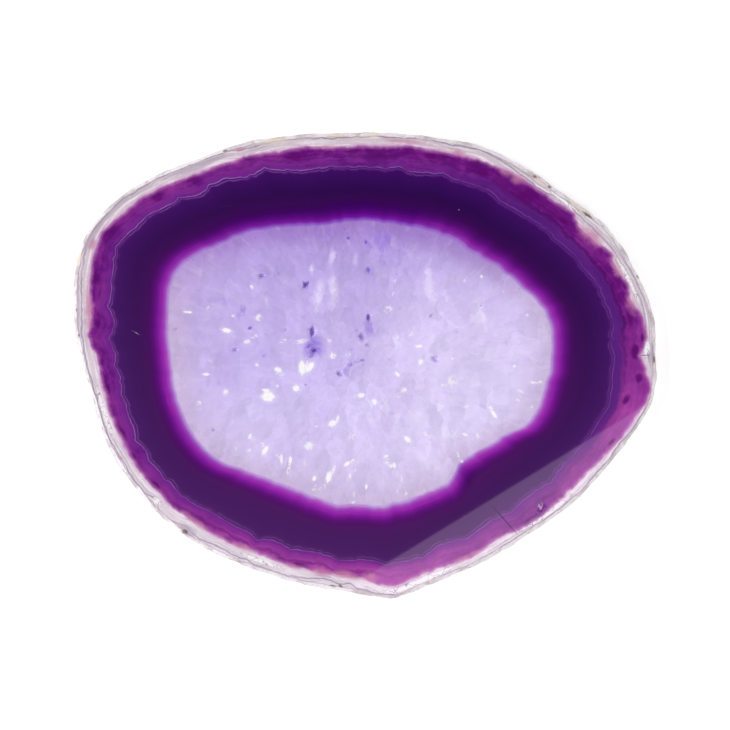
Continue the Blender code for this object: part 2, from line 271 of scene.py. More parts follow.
# Strength of the dark groove in the outer band, and how thin the dye is there, which is
# below 0 where it lies thick.
GROOVE_STRENGTH = [
    (0, 0.2), (8, 0.8), (42, 0.8), (55, 0.2), (205, 0.1), (220, 0.45), (265, 0.45), (285, 0.1),
    (340, 0.2),
]
THIN_DYE = [
    (0, 0.2), (4, 0.1), (20, 0.05), (45, -0.17), (60, -0.12), (80, 0.0), (100, 0.0), (140, 0.1),
    (200, 0.0), (215, 0.3), (240, 0.55), (260, 0.8), (280, 0.7), (300, 0.45), (310, 0.35),
    (317, 0.1), (323, 0.1), (329, 0.45), (340, 0.3), (350, 0.65),
]
# Dark blots in the outer band: bearing, depth, half width round the rim and half depth in mm.
BLOTS = [
    (3.1, 3.6, 1.4, 0.8), (5.6, 2.1, 0.8, 0.55), (9.8, 4.1, 1.88, 0.68), (17, 2.9, 0.86, 0.51),
    (24.5, 2.4, 0.68, 0.51),
    (36, 4.0, 1.37, 0.60), (45.6, 3.3, 2.57, 0.86), (46.5, 4.5, 2.05, 0.86),
    (58.8, 4.1, 1.37, 0.86), (69, 3.0, 1.03, 0.68), (72.5, 3.4, 1.37, 0.60), (79, 3.3, 1.71, 0.68),
    (94.4, 3.0, 1.03, 0.68), (104.7, 2.1, 1.03, 0.34), (108.8, 3.9, 2.05, 1.20),
    (119, 2.9, 1.20, 0.86), (133.4, 3.1, 1.03, 0.68), (140.6, 3.6, 1.54, 1.20),
    (152, 3.4, 1.71, 1.20), (162, 3.8, 1.37, 1.03), (171, 4.2, 1.20, 0.68),
    (184.9, 3.1, 1.20, 0.68), (195.3, 3.1, 1.20, 0.68), (201.4, 3.05, 0.94, 0.6),
    (209.5, 3.1, 1.37, 0.86), (231.8, 3.1, 1.03, 0.51), (245.6, 3.0, 1.03, 0.51),
    (252, 3.1, 2.05, 0.51), (268.5, 3.1, 0.86, 0.51), (310, 2.5, 1.20, 0.34),
    (318.8, 2.1, 3.42, 0.51), (326.5, 2.3, 0.68, 0.34), (342.8, 2.3, 1.03, 0.51),
    (352.5, 4.5, 1.03, 0.68), (357.2, 3.2, 0.94, 0.77),
]
# Pink patches where the dye thins: the same four values.
BLUSH = [
    (13.0, 3.2, 1.6, 0.8), (20.6, 2.8, 1.88, 0.77),
    (30.3, 3.0, 2.23, 1.20), (50.6, 2.6, 1.37, 0.86), (53.5, 2.6, 1.20, 0.68),
    (66, 2.2, 1.37, 0.51), (79, 1.4, 4.28, 0.51), (100, 2.5, 2.57, 0.26), (120, 1.0, 1.03, 0.51),
    (156, 1.9, 1.03, 0.51), (168, 2.8, 4.28, 0.77), (200.6, 1.0, 0.68, 0.51),
    (222.5, 3.2, 2.3, 0.6), (235.5, 3.0, 1.8, 0.5), (250, 2.7, 1.37, 0.4),
    (258.5, 2.7, 1.9, 0.6), (265, 3.0, 2.6, 0.7), (271.5, 3.4, 1.2, 1.1),
    (298.5, 2.1, 3.08, 0.4),
]
# Brown specks, cream patches, white crystals and grey patches in the rind: the same four values.
RUST = [
    (1.2, 0.4, 0.7, 0.25), (18, 0.3, 0.4, 0.22), (34, 0.75, 1.3, 0.35), (44, 0.6, 0.4, 0.3),
    (48, 0.6, 0.45, 0.3), (123, 0.5, 0.5, 0.25), (169, 0.7, 0.35, 0.22), (174, 0.7, 0.35, 0.22),
    (222.8, 0.7, 0.6, 0.5), (261.5, 0.78, 0.9, 0.14), (263.8, 0.95, 0.5, 0.28),
]
CREAM = [
    (88, 0.5, 1.6, 0.45), (112, 0.8, 3.2, 0.5), (159.5, 0.6, 1.4, 0.4), (97, 0.5, 2.5, 0.3),
    (36, 0.6, 2.6, 0.4), (46.5, 0.8, 1.8, 0.4),
]
FROST = [
    (3.6, 1.6, 1.5, 0.75), (18, 1.95, 5.2, 0.35), (284, 1.3, 8.2, 0.55), (321, 1.35, 6.0, 0.35),
    (40, 1.15, 3.6, 0.3), (213, 1.5, 1.0, 0.6), (242, 1.9, 4.0, 0.4), (190, 1.5, 5.0, 0.4),
]
DUSK = [(152, 1.1, 6.0, 0.5), (2.0, 0.8, 1.8, 0.6), (223, 1.2, 1.6, 0.8), (130, 1.4, 5.0, 0.5)]

# Names under which the mesh keeps the shares by bearing and the patches.
SHARES = {"glow": FRINGE_GLOW, "shine": LINE_STRENGTH, "groove": GROOVE_STRENGTH, "thin": THIN_DYE}
SPOTS = {"blot": BLOTS, "blush": BLUSH, "rust": RUST, "cream": CREAM, "frost": FROST, "dusk": DUSK}
# On the back the patches are turned round the rim, by this many degrees, and the painted
# glints and violet crystal faces are mirrored and keep this many mm clear of the edge of the quartz.
BACK_TURN = 137.0
BACK_CLEAR = 1.0
# How far the halo round a painted glint, and round a violet crystal face, reaches past it
# in mm, and what marks a point beyond.
HALO = 0.6
FAR = 9.0
# Grain of the quartz, which grew inwards: cells per radian around, cells per mm outwards,
# and the heart, within which cells stop getting narrower towards the middle.
GRAIN_ROUND = 16
GRAIN_OUT = 0.15
GRAIN_HEART = 14.0

# Mesh: steps from the middle to the edge of the quartz, rings out to the light line and
# from there to the edge of the face, rings down the wall, and rings back in underneath,
# the first of them a little way in from the back's edge. Then the width of the arris round
# both faces, and the angle in degrees from which an edge is sharp.
HALF_STEPS = 104
COLUMNS = 8 * HALF_STEPS
BAND_RINGS = 8
OUTER_RINGS = 18
WALL_RINGS = 15
BACK_RINGS = 10
BACK_MARGIN = 0.6
ARRIS = 0.06
SHARP = 35


def smooth_around(points, bearings):
    """Closed smooth curve through (bearing, value) points, read at the bearings given.

    Each stretch is a cubic whose slope at a point is that of the line between the
    point's two neighbours.
    """
    knots = np.array(points, dtype=float)
    turn = np.array([360.0, 0.0])
    knots = np.concatenate([knots[-2:] - turn, knots, knots[:2] + turn])
    at, value = knots[:, 0], knots[:, 1]
    slope = (value[2:] - value[:-2]) / (at[2:] - at[:-2])
    index = np.searchsorted(at, bearings, side="right") - 1
    span = at[index + 1] - at[index]
    t = (bearings - at[index]) / span
    start = (1 + 2 * t) * (1 - t) ** 2 * value[index]
    end = t ** 2 * (3 - 2 * t) * value[index + 1]
    leave = t * (1 - t) ** 2 * span * slope[index - 1]
    arrive = t ** 2 * (t - 1) * span * slope[index]
    return start + end + leave + arrive


def straight_around(points, bearings):
    """Closed curve of straight stretches through (bearing, value) points."""
    at, value = np.array(points, dtype=float).T
    return np.interp(bearings, at, value, period=360.0)


def scallops(cusps, bearings):
    """Depth of a scalloped line: straight from cusp to cusp, plus a parabola between
    them that hangs deeper in its middle by the scallop's own amount."""
    at, depth, hang = np.array(cusps, dtype=float).T
    start = at - at[0]
    place = (bearings - at[0]) % 360.0
    index = np.searchsorted(start, place, side="right") - 1
    length = np.append(np.diff(start), 360.0 - start[-1])[index]
    along = (place - start[index]) / length
    change = np.roll(depth, -1)[index] - depth[index]
    return depth[index] + change * along + 4 * hang[index] * along * (1 - along)


def ripple(bearings, height, cells, seed):
    """Smooth random relief from -1 to 1: random values at whole cells round the rim and
    up the height, with an S-curve from each to the next. It closes after a full turn."""
    rows = 16
    table = np.random.default_rng(seed).uniform(-1.0, 1.0, (rows, cells))
    across = bearings / 360.0 * cells
    up = height + np.zeros_like(across)
    column, row = np.floor(across).astype(int), np.floor(up).astype(int)
    a, b = across - column, up - row
    a, b = a * a * (3 - 2 * a), b * b * (3 - 2 * b)

    def value(row_step, column_step):
        return table[(row + row_step) % rows, (column + column_step) % cells]

    low = value(0, 0) * (1 - a) + value(0, 1) * a
    high = value(1, 0) * (1 - a) + value(1, 1) * a
    return low * (1 - b) + high * b


def wall_radius(bearings, height):
    """Distance of the rind from the middle at a height from 0, the back, to 1, the front.

    The widest line is drawn in by the inset times a power of the distance from
    mid-height, then the lumps are added as waves, and two finer ripples as grit.
    """
    angle = np.radians(bearings)
    away = np.abs(2 * height - 1) ** BULGE_POWER
    lean = (1 + np.cos(angle - math.radians(LEAN_BEARING))) / 2
    inset = FRONT_INSET if height > 0.5 else BACK_INSET + BACK_LEAN * lean
    lumps = sum(
        size * np.sin(waves * angle + math.radians(start) + math.tau * turns * height)
        for waves, turns, size, start in LUMPS
    )
    grit = sum(size * ripple(bearings, height * rows, cells, seed) for size, rows, cells, seed in GRIT)
    return smooth_around(RIM, bearings) - inset * away + LUMP_SHARE * lumps + grit


def zone_lines(bearings):
    """Distances from the middle of the lines that part the stone's zones.

    Each is that of the widest line less the zone's depth, plus a ripple. The light line
    has its scallops and, for crinkles, ripples without their sign.
    """
    widest = smooth_around(RIM, bearings)
    crinkles = sum(size * np.abs(ripple(bearings, 0, cells, seed)) for size, cells, seed in CRINKLES)
    lines = {"line": widest - scallops(LIGHT_LINE, bearings) - (crinkles - CRINKLE_MIDDLE)}
    for name, (depths, size, cells, seed) in ZONES.items():
        waver = size * ripple(bearings, 0, cells, seed)
        lines[name] = widest - straight_around(depths, bearings) + waver
    return lines


def bent_square(half):
    """Square grid of points bent into a disc: shares of the way out, bearings, quads, edge.

    The square ring that is k steps from the middle goes to the share k / half, and a
    point's bearing is 45 degrees times its place along its side of that ring.
    """
    steps = np.arange(-half, half + 1)
    east, north = (a.ravel() for a in np.meshgrid(steps, steps))
    share = np.maximum(np.abs(east), np.abs(north)) / half
    sideways = np.abs(east) >= np.abs(north)
    by_east = 45.0 * north / np.where(east == 0, 1, east) + np.where(east < 0, 180.0, 0.0)
    by_north = 90.0 - 45.0 * east / np.where(north == 0, 1, north) + np.where(north < 0, 180.0, 0.0)
    bearing = np.where(sideways, by_east, by_north) % 360.0
    index = np.arange(share.size).reshape(steps.size, steps.size)
    quads = np.stack([index[:-1, :-1], index[:-1, 1:], index[1:, 1:], index[1:, :-1]], axis=-1)
    rim = np.flatnonzero(share == 1.0)
    return share, bearing, quads.reshape(-1, 4), rim[np.argsort(bearing[rim])]


def between(ring, following):
    """Quads between two rings of point numbers, facing out where the rings go outwards."""
    return np.stack([ring, following, np.roll(following, -1), np.roll(ring, -1)], axis=-1)


def slab_grid():
    """Bearings, distances, heights and faces of the whole slab, ring after ring.

    From the middle of the front face the rings run out to its edge, down the wall, where
    they lie closest near both faces, and back in underneath, where every second column
    ends. Both middles are bent squares. Faces come as a list of pairs: an array of corner
    numbers, and a material slot.
    """
    columns = np.arange(COLUMNS) * 360.0 / COLUMNS
    lines = zone_lines(columns)
    front_edge = wall_radius(columns, 1.0) - ARRIS
    back_edge = wall_radius(columns, 0.0) - ARRIS
    reach = back_edge / front_edge

    share, bearing, quads, rim = bent_square(HALF_STEPS)
    quartz = np.interp(bearing, columns, lines["quartz"], period=360.0)
    bearings, distances, heights = [bearing], [share * quartz], [np.full(share.size, THICKNESS)]
    faces, last, count = [(quads, 0)], rim, share.size

    def lay(radius, height, at, slot):
        nonlocal last, count
        ring = count + np.arange(at.size)
        bearings.append(at)
        distances.append(radius)
        heights.append(np.full(at.size, height))
        if at.size == last.size:
            faces.append((between(last, ring), slot))
        else:
            corners = [last[::2], ring, np.roll(ring, -1), np.roll(last[::2], -1), last[1::2]]
            faces.append((np.stack(corners, axis=-1), slot))
        last, count = ring, count + at.size

    rings = [np.linspace(lines["quartz"], lines["line"], BAND_RINGS + 1)[1:]]
    rings.append(np.linspace(lines["line"], front_edge, OUTER_RINGS + 1)[1:])
    for radius in np.concatenate(rings):
        lay(radius, THICKNESS, columns, 0)
    for step in range(WALL_RINGS):
        height = (1 + math.cos(math.pi * (step + 0.8) / (WALL_RINGS + 0.6))) / 2
        lay(wall_radius(columns, height), height * THICKNESS, columns, 1)
    lay(back_edge, 0.0, columns, 1)
    halved = columns[::2]
    outer, inner = back_edge[::2] - BACK_MARGIN, (lines["quartz"] * reach)[::2]
    for radius in np.linspace(outer, inner, BACK_RINGS + 1)[:-1]:
        lay(radius, 0.0, halved, 0)

    share, bearing, quads, rim = bent_square(HALF_STEPS // 2)
    bearings.append(bearing)
    distances.append(share * np.interp(bearing, halved, inner, period=360.0))
    heights.append(np.zeros(share.size))
    faces.append((between(last, count + rim), 0))
    faces.append((count + quads[:, ::-1], 0))
    return np.concatenate(bearings), np.concatenate(distances), np.concatenate(heights), faces


def from_mark(x, y, mark_x, mark_y, half_length, half_width, turn):
    """Place of each point in a mark's own axes, in half lengths and half widths."""
    angle = math.radians(turn)
    east, north = x - mark_x, y - mark_y
    along = (east * math.cos(angle) + north * math.sin(angle)) / half_length
    across = (north * math.cos(angle) - east * math.sin(angle)) / half_width
    return along, across


def dents(x, y, pits):
    """Depth of the pits: six sides that slope from a pit's mouth to its flat floor."""
    depth = np.zeros_like(x)
    for pit_x, pit_y, half_length, half_width, deepest, turn in pits:
        along, across = from_mark(x, y, pit_x, pit_y, half_length, half_width, turn)
        sides = [np.abs(along * math.cos(a) + across * math.sin(a)) for a in np.radians([30, 90, 150])]
        out = np.max(sides, axis=0) / math.cos(math.radians(30))
        depth = np.maximum(depth, deepest * np.clip((1 - out) / (1 - PIT_FLOOR_SHARE), 0, 1))
    return depth


def patches(bearing, distance, depth, rows):
    """1 in the middle of the nearest patch, 0 on its edge, and -1 from twice as far on."""
    best = np.full(bearing.shape, -1.0)
    for at, middle, half_round, half_deep in rows:
        swing = np.radians((bearing - at + 180.0) % 360.0 - 180.0)
        out = np.hypot(swing * distance / half_round, (depth - middle) / half_deep)
        best = np.maximum(best, 1 - out)
    return best


def clouds(x, y, rows):
    """Sum of the clouds, each a bell that falls with the square of the distance."""
    total = np.zeros_like(x)
    for *shape, strength in rows:
        along, across = from_mark(x, y, *shape)
        total += strength * np.exp(-1.0 * (along ** 2 + across ** 2))
    return total


def glints_and_violet_marks(x, y, inside, rows):
    """For each point its place in the nearest mark's own axes, with a third value
    that is large where none is near, and that mark's strength. The marks are the painted
    glints, white highlights painted where crystal faces catch the light, with a strength
    above 0, and the violet crystal faces and cracks, below 0. The length of the first
    two is below 1 on a mark."""
    nearest = np.full(x.shape, np.inf)
    local, tone = np.zeros((x.size, 3)), np.zeros_like(x)
    for *shape, strength in rows:
        along, across = from_mark(x, y, *shape)
        out = np.hypot(along, across)
        near = out < nearest
        nearest[near] = out[near]
        far = np.where(out > 1 + HALO / shape[3], FAR, 0.0)
        local[near] = np.stack([along, across, far], axis=-1)[near]
        tone[near] = strength
    local[~inside, 2] = FAR
    return local, tone


def keep(mesh, name, values):
    """Keep one number or one vector for each point on the mesh, under a name."""
    vector = values.ndim == 2
    layer = mesh.attributes.new(name, "FLOAT_VECTOR" if vector else "FLOAT", "POINT")
    layer.data.foreach_set("vector" if vector else "value", values.astype(np.float32).ravel())


def keep_places(mesh, bearing, distance, height):
    """Keep on the mesh all that the material needs to know of each point's place.

    That is how far outside each zone's line it lies, its shares by bearing, its place in
    the patches, clouds, painted glints and violet crystal faces, and its place along the
    grain. On the back the lines are drawn in as its edge is.
    """
    angle = np.radians(bearing)
    x, y = distance * np.cos(angle), distance * np.sin(angle)
    front, back = height == THICKNESS, height == 0
    reach = np.where(back, wall_radius(bearing, 0.0) / wall_radius(bearing, 1.0), 1.0)
    level = distance / reach
    lines = zone_lines(bearing)
    for name in ("quartz", "line", "front", "vein"):
        keep(mesh, "from_" + name, level - lines[name])
    keep(mesh, "from_edge", level - wall_radius(bearing, 1.0) + ARRIS)
    for name, points in SHARES.items():
        keep(mesh, name, straight_around(points, bearing))
    below_widest = smooth_around(RIM, bearing) - level
    turned = np.where(back, bearing + BACK_TURN, bearing)
    # The patches fade on the lower half of the wall
    fade = np.where(back, 0.0, 2 * np.clip(1 - 2 * height / THICKNESS, 0, 1))
    for name, rows in SPOTS.items():
        keep(mesh, name, patches(turned, level, below_widest, rows) - fade)
    mirrored = np.where(back, -x, x)
    keep(mesh, "cloud", clouds(mirrored, y, CLOUDS) - clouds(mirrored, y, VIOLETS))
    rows = GLINTS + [(*mark[:5], -mark[5]) for mark in MARKS]
    inside = front | (back & (level < lines["quartz"] - BACK_CLEAR))
    local, tone = glints_and_violet_marks(mirrored, y, inside, rows)
    keep(mesh, "crystal", local)
    keep(mesh, "crystal_tone", tone)
    spread = np.hypot(distance, GRAIN_HEART)
    grain = [GRAIN_ROUND * x / spread, GRAIN_ROUND * y / spread, GRAIN_OUT * distance]
    keep(mesh, "grain", np.stack(grain, axis=-1))


def slab(low, high):
    """The slab as a mesh object, centred on the box between low and high.

    Points come from bearing and distance, and pits and a chip sink them into the stone.
    """
    bearing, distance, height, faces = slab_grid()
    angle = np.radians(bearing)
    x, y = distance * np.cos(angle), distance * np.sin(angle)
    front, back = height == THICKNESS, height == 0
    lowered = np.where(front, dents(x, y, FRONT_PITS + [CHIP]), 0)
    raised = np.where(back, dents(x, y, BACK_PITS), 0)
    points = np.stack([x, y, height - (lowered - raised)], axis=-1) * MM
    points[:, :2] += (np.array(low + high)[:2] - points.min(0)[:2] - points.max(0)[:2]) / 2

    mesh = bpy.data.meshes.new("agate_slab")
    corners = [face for quads, _ in faces for face in quads.tolist()]
    mesh.from_pydata(points.tolist(), [], corners)
    slots = np.concatenate([np.full(len(quads), slot) for quads, slot in faces])
    mesh.polygons.foreach_set("material_index", slots.astype(np.int32))
    keep_places(mesh, bearing, distance, height)
    mesh.shade_smooth()
    mesh.set_sharp_from_angle(angle=math.radians(SHARP))
    stone = bpy.data.objects.new("agate_slab", mesh)
    bpy.context.collection.objects.link(stone)
    return stone


def paint(code):
    """Linear RGBA of an sRGB hex colour."""
    srgb = [int(code[i:i + 2], 16) / 255 for i in (1, 3, 5)]
    return (*[c / 12.92 if c <= 0.04045 else ((c + 0.055) / 1.055) ** 2.4 for c in srgb], 1.0)


def add(tree, kind, *feeds, ramp=None, sockets=None, **settings):
    """Add a node with its settings. Feeds go to its inputs in order, and sockets names
    others. A feed is a value, a hex colour, a node or one of a node's outputs."""
    node = tree.nodes.new("ShaderNode" + kind)
    for name, value in settings.items():
        setattr(node, name, value)
    if ramp:
        stops = node.color_ramp.elements
        while len(stops) < len(ramp):
            stops.new(0.5)
        for stop, (position, colour) in zip(stops, ramp):
            stop.position, stop.color = position, paint(colour)
    named = [(node.inputs[name], feed) for name, feed in (sockets or {}).items()]
    for socket, feed in [*zip([s for s in node.inputs if s.enabled], feeds), *named]:
        if isinstance(feed, bpy.types.Node):
            feed = next(s for s in feed.outputs if s.enabled)
        if isinstance(feed, bpy.types.NodeSocket):
            tree.links.new(feed, socket)
        elif feed is not None:
            socket.default_value = paint(feed) if isinstance(feed, str) else feed
    return node


def new_material(name):
    """An empty material, its tree, and the node adder for that tree."""
    material = bpy.data.materials.new(name)
    material.use_nodes = True
    material.node_tree.nodes.clear()
    return material, functools.partial(add, material.node_tree)


def per_metre(size):
    """Whole pattern cells in a metre, for cells of a size in mm."""
    return round(1 / (size * MM))


SMOOTH = {"interpolation_type": "SMOOTHSTEP"}
BLEND = {"data_type": "RGBA"}


def read_stone(node):
    """What the stone's material works from, by name.

    That is each point's place, what the mesh keeps of it, and noises. Three lie on its own
    place, one is drawn out along the way the crystals grew, and three are laid along the
    bands, each with its layers to a mm. Real layers are finer: these are coarse enough to
    show.
    """
    at = types.SimpleNamespace(layers={})
    at.place = node("TexCoord").outputs["Object"]
    at.x, at.y = node("SeparateXYZ", at.place).outputs[:2]
    for name in ("grain", "crystal"):
        setattr(at, name, node("Attribute", attribute_name=name).outputs["Vector"])
    for name in ("from_quartz", "from_line", "from_front", "from_vein", "from_edge", *SHARES, *SPOTS,
                 "cloud", "crystal_tone"):
        setattr(at, name, node("Attribute", attribute_name=name).outputs["Fac"])
    at.slow = node("TexNoise", at.place, per_metre(9.091), 3.0, 0.55).outputs["Fac"]
    at.middling = node("TexNoise", at.place, per_metre(2.0), 3.0, 0.55).outputs["Fac"]
    at.fine = node("TexNoise", at.place, per_metre(0.4545), 3.0, 0.6).outputs["Fac"]
    along = node("VectorMath", at.grain, (1.5, 1.5, 0.9), operation="MULTIPLY")
    at.streak = node("TexNoise", along, 1.0, 4.0, 0.6).outputs["Fac"]
    for name, per_mm in (("from_quartz", 2.4), ("from_line", 2.2), ("from_vein", 3.0)):
        flat = node("VectorMath", at.grain, (0.5, 0.5, 0.0), operation="MULTIPLY")
        lift = node("Math", getattr(at, name), per_mm, operation="MULTIPLY")
        lift = node("CombineXYZ", 0.0, 0.0, lift)
        at.layers[name] = node("TexNoise", node("VectorMath", flat, lift), 1.0, 3.0, 0.6).outputs["Fac"]
    return at


def milky_quartz(node, at):
    """The quartz heart: violet along its north edge, palest to the south and duller at its
    edge, with clouds, pale above 0 and violet below, and shaded in plates that stand
    upright or lie along the grain."""
    quartz = node("ValToRGB", node("MapRange", at.y, -0.026, 0.025), ramp=[
        (0.0, "#D0BFE6"), (0.28, "#D8CAF5"), (0.52, "#CDBDF2"), (0.76, "#C3B0EA"), (1.0, "#AE92DA")])
    to_north = node("MapRange", at.y, 0.006, 0.024, **SMOOTH)
    edge_tint = node("Mix", to_north, "#CBB7DB", "#A17CCA", **BLEND)
    upright = node("VectorMath", at.place, (per_metre(2.5), per_metre(4.0), 0.0), operation="MULTIPLY")
    upright = node("VectorMath", node("TexNoise", at.place, per_metre(1.667), 2.0).outputs["Color"],
                   (0.8, 0.5, 0.0), upright, operation="MULTIPLY_ADD")
    grown = node("VectorMath", node("TexNoise", at.place, per_metre(1.429), 2.0).outputs["Color"],
                 (0.9, 0.9, 0.9), at.grain, operation="MULTIPLY_ADD")
    plates = []
    for axes, stretch in (
            (upright, (1.0, 1.0, 1.0)), (upright, (2.3, 2.1, 1.0)), (grown, (1.7, 1.7, 3.0))):
        axes = node("VectorMath", axes, stretch, operation="MULTIPLY")
        plates.append(node("TexVoronoi", axes, 1.0).outputs["Color"])
    cloud = node("Math", at.cloud, 0.53, operation="SUBTRACT")
    cloud = node("Math", plates[1], 0.45, cloud, operation="MULTIPLY_ADD")
    cloud = node("Math", at.middling, 0.6, cloud, operation="MULTIPLY_ADD")
    pale_east = node("MapRange", at.y, 0.022, 0.004, 0.0, 0.6)
    for share, colour in (
        (node("MapRange", at.slow, 0.45, 0.68, 0.0, 0.3, **SMOOTH), "#B49DE2"),
        (node("MapRange", at.x, -0.008, 0.014, 0.0, pale_east, **SMOOTH), "#E8DCFC"),
        (node("MapRange", at.x, -0.020, -0.034, 0.0, 0.5, **SMOOTH), "#BFA6D2"),
        (node("MapRange", at.from_quartz, -5.5, -0.4, 0.0, 0.85, **SMOOTH), edge_tint),
        (node("MapRange", cloud, 0.15, 0.9, 0.0, 0.85, **SMOOTH), "#EAE2FC"),
        (node("MapRange", cloud, -0.15, -0.9, 0.0, 0.9, **SMOOTH), "#9879DC"),
        (node("MapRange", at.streak, 0.50, 0.72, 0.0, 0.14, **SMOOTH), "#ECE5FB"),
        (node("MapRange", at.streak, 0.46, 0.30, 0.0, 0.13, **SMOOTH), "#A68EDA"),
    ):
        quartz = node("Mix", share, quartz, colour, **BLEND)
    for plate, low, high in zip(plates, (0.92, 0.95, 0.96), (1.065, 1.045, 1.04)):
        shade = node("MapRange", plate, 0.0, 1.0, low, high)
        quartz = node("VectorMath", quartz, sockets={"Scale": shade.outputs[0]}, operation="SCALE")

    # Small sparks: the white ones, more to the south, are painted glints, highlights painted
    # into the colour; the violet ones, more to the north, are violet flecks in the stone
    chip = node("TexVoronoi", node("VectorMath", at.grain, (4.5, 4.5, 7.0), operation="MULTIPLY"), 1.0)
    lucky = node("Math", at.y, -7.0, chip.outputs["Color"], operation="MULTIPLY_ADD")
    glint_and_fleck = node("Math", at.fine, 0.35, chip.outputs["Distance"], operation="MULTIPLY_ADD")
    glint_and_fleck = node("MapRange", glint_and_fleck, 0.38, 0.26)
    for low, high, colour in ((0.93, 1.0, "#FBF8FC"), (0.06, 0.0, "#8467BE")):
        share = node("MapRange", lucky, low, high, 0.0, 0.85)
        share = node("Math", glint_and_fleck, share, operation="MULTIPLY")
        quartz = node("Mix", share, quartz, colour, **BLEND)
    return quartz


def outer_band(node, at):
    """The outer band, from the light line to the front of the dye: warm where the dye is
    thin, dark where it is thick, dim to the east, with a groove and blots."""
    outer = node("ValToRGB", node("MapRange", at.from_line, 0.0, 5.0), ramp=[
        (0.0, "#6A2486"), (0.2, "#6E2186"), (0.4, "#6C197E"), (0.62, "#6E167E"), (1.0, "#7C248A")])
    wavy = node("Math", at.middling, 1.6, at.from_line, operation="MULTIPLY_ADD")
    groove = node("Math", node("MapRange", wavy, 2.2, 2.7, **SMOOTH),
                  node("MapRange", wavy, 3.3, 2.75, **SMOOTH), operation="MULTIPLY")
    blot = node("Math", at.middling, 1.8, at.blot, operation="MULTIPLY_ADD")
    warmth = node("Math", at.slow, 0.7, at.thin, operation="MULTIPLY_ADD")
    warmth = node("Math", at.middling, 0.7, warmth, operation="MULTIPLY_ADD")
    warmth = node("Math", at.layers["from_line"], 0.5, warmth, operation="MULTIPLY_ADD")
    east = node("VectorMath", at.place, (0.94, 0.34, 0.0), operation="DOT_PRODUCT").outputs["Value"]
    warm = node("Math", node("MapRange", warmth, 0.85, 1.8),
                node("MapRange", at.from_line, 0.0, 1.8), operation="MULTIPLY")
    dim_east = node("Math", node("MapRange", east, 0.020, 0.036, 0.0, 0.75),
                    node("MapRange", at.from_line, 2.1, 1.1, **SMOOTH), operation="MULTIPLY")
    for share, colour in (
        (warm, "#AC48A6"),
        (node("MapRange", warmth, 0.97, 0.65, 0.0, 0.7), "#500C60"),
        (dim_east, "#502078"),
        (node("Math", groove, at.groove, operation="MULTIPLY"), "#4C1262"),
        (node("MapRange", blot, 0.8, 1.55, 0.0, 0.85, **SMOOTH), "#5A0A68"),
    ):
        outer = node("Mix", share, outer, colour, **BLEND)
    return outer


def dyed_bands(node, at):
    """The dyed agate, from the quartz outwards: a fringe, the dark band, whose colours go by
    the share of the way out to the light line, that line, and the outer band."""
    out_of_quartz = node("MapRange", at.from_quartz, 0.0, 4.0)
    bright_fringe = node("ValToRGB", out_of_quartz, ramp=[
        (0.0, "#B98AD8"), (0.0875, "#A656C0"), (0.2, "#9C34B2"), (0.3, "#9426A8"), (0.425, "#7A1A94"),
        (0.575, "#5F1478"), (0.8, "#4C1062"), (1.0, "#481060")])
    dark_fringe = node("ValToRGB", out_of_quartz, ramp=[
        (0.0, "#8344BC"), (0.0875, "#6E189A"), (0.2, "#620888"), (0.3, "#530579"), (0.425, "#430668"),
        (0.575, "#39045C"), (0.8, "#35054E"), (1.0, "#310748")])
    fringe = node("Mix", at.glow, dark_fringe, bright_fringe, **BLEND)
    dashes = node("MapRange", at.layers["from_quartz"], 0.52, 0.66, 0.0, 0.5)
    dashes = node("Math", dashes, node("MapRange", at.from_quartz, 1.8, 0.6), operation="MULTIPLY")
    dashes = node("Math", dashes, at.glow, operation="MULTIPLY")
    fringe = node("Mix", dashes, fringe, "#B02EA4", **BLEND)
    span = node("Math", at.from_quartz, at.from_line, operation="SUBTRACT")
    way_out = node("Math", at.from_quartz, span, operation="DIVIDE")
    far_band = node("ValToRGB", way_out, ramp=[
        (0.3, "#330650"), (0.55, "#2A0748"), (0.75, "#310A54"), (0.92, "#3D0C5F"), (0.94, "#4A146E"),
        (1.0, "#551B77")])
    near_band = node("ValToRGB", way_out, ramp=[
        (0.3, "#501C62"), (0.55, "#481D5E"), (0.75, "#471F60"), (0.9, "#4A2163"), (0.93, "#50246A"),
        (1.0, "#58286F")])
    south = node("VectorMath", at.place, (-0.17, -0.98, 0.0), operation="DOT_PRODUCT").outputs["Value"]
    band = node("Mix", node("MapRange", south, -0.034, 0.032), far_band, near_band, **BLEND)
    band = node("Mix", node("MapRange", at.from_quartz, 2.4, 4.0, **SMOOTH), fringe, band, **BLEND)
    past_line = node("MapRange", at.from_line, -0.15, 0.1, **SMOOTH)
    stone = node("Mix", past_line, band, outer_band(node, at), **BLEND)

    # The light line, a fainter one just inside it, and the bands' own fine layers
    beside = node("Math", at.middling, 0.9, at.from_line, operation="MULTIPLY_ADD")
    for across, most in ((at.from_line, 0.75), (beside, 0.32)):
        gleam = node("Math", node("MapRange", across, -0.1, 0.01), node("MapRange", across, 0.16, 0.04),
                     operation="MULTIPLY")
        broken = node("Math", node("MapRange", at.middling, 0.38, 0.58, 0.4 * most, most), at.shine,
                      operation="MULTIPLY")
        gleam = node("Math", gleam, broken, operation="MULTIPLY")
        stone = node("Mix", gleam, stone, "#B58AC6", **BLEND)
    relief = node("MapRange", at.from_line, -1.0, 0.2, 0.0, 0.28)
    relief = node("Math", relief, node("MapRange", at.from_quartz, 2.5, 1.0, 0.1, 0.35),
                  operation="MAXIMUM")
    banding = node("Mix", node("MapRange", at.from_line, -2.5, -1.5), at.layers["from_quartz"],
                   at.layers["from_line"])
    shade = node("Math", banding, 0.5, operation="SUBTRACT")
    shade = node("Math", shade, relief, 1.0, operation="MULTIPLY_ADD")
    stone = node("VectorMath", stone, sockets={"Scale": shade.outputs[0]}, operation="SCALE")
    return stone


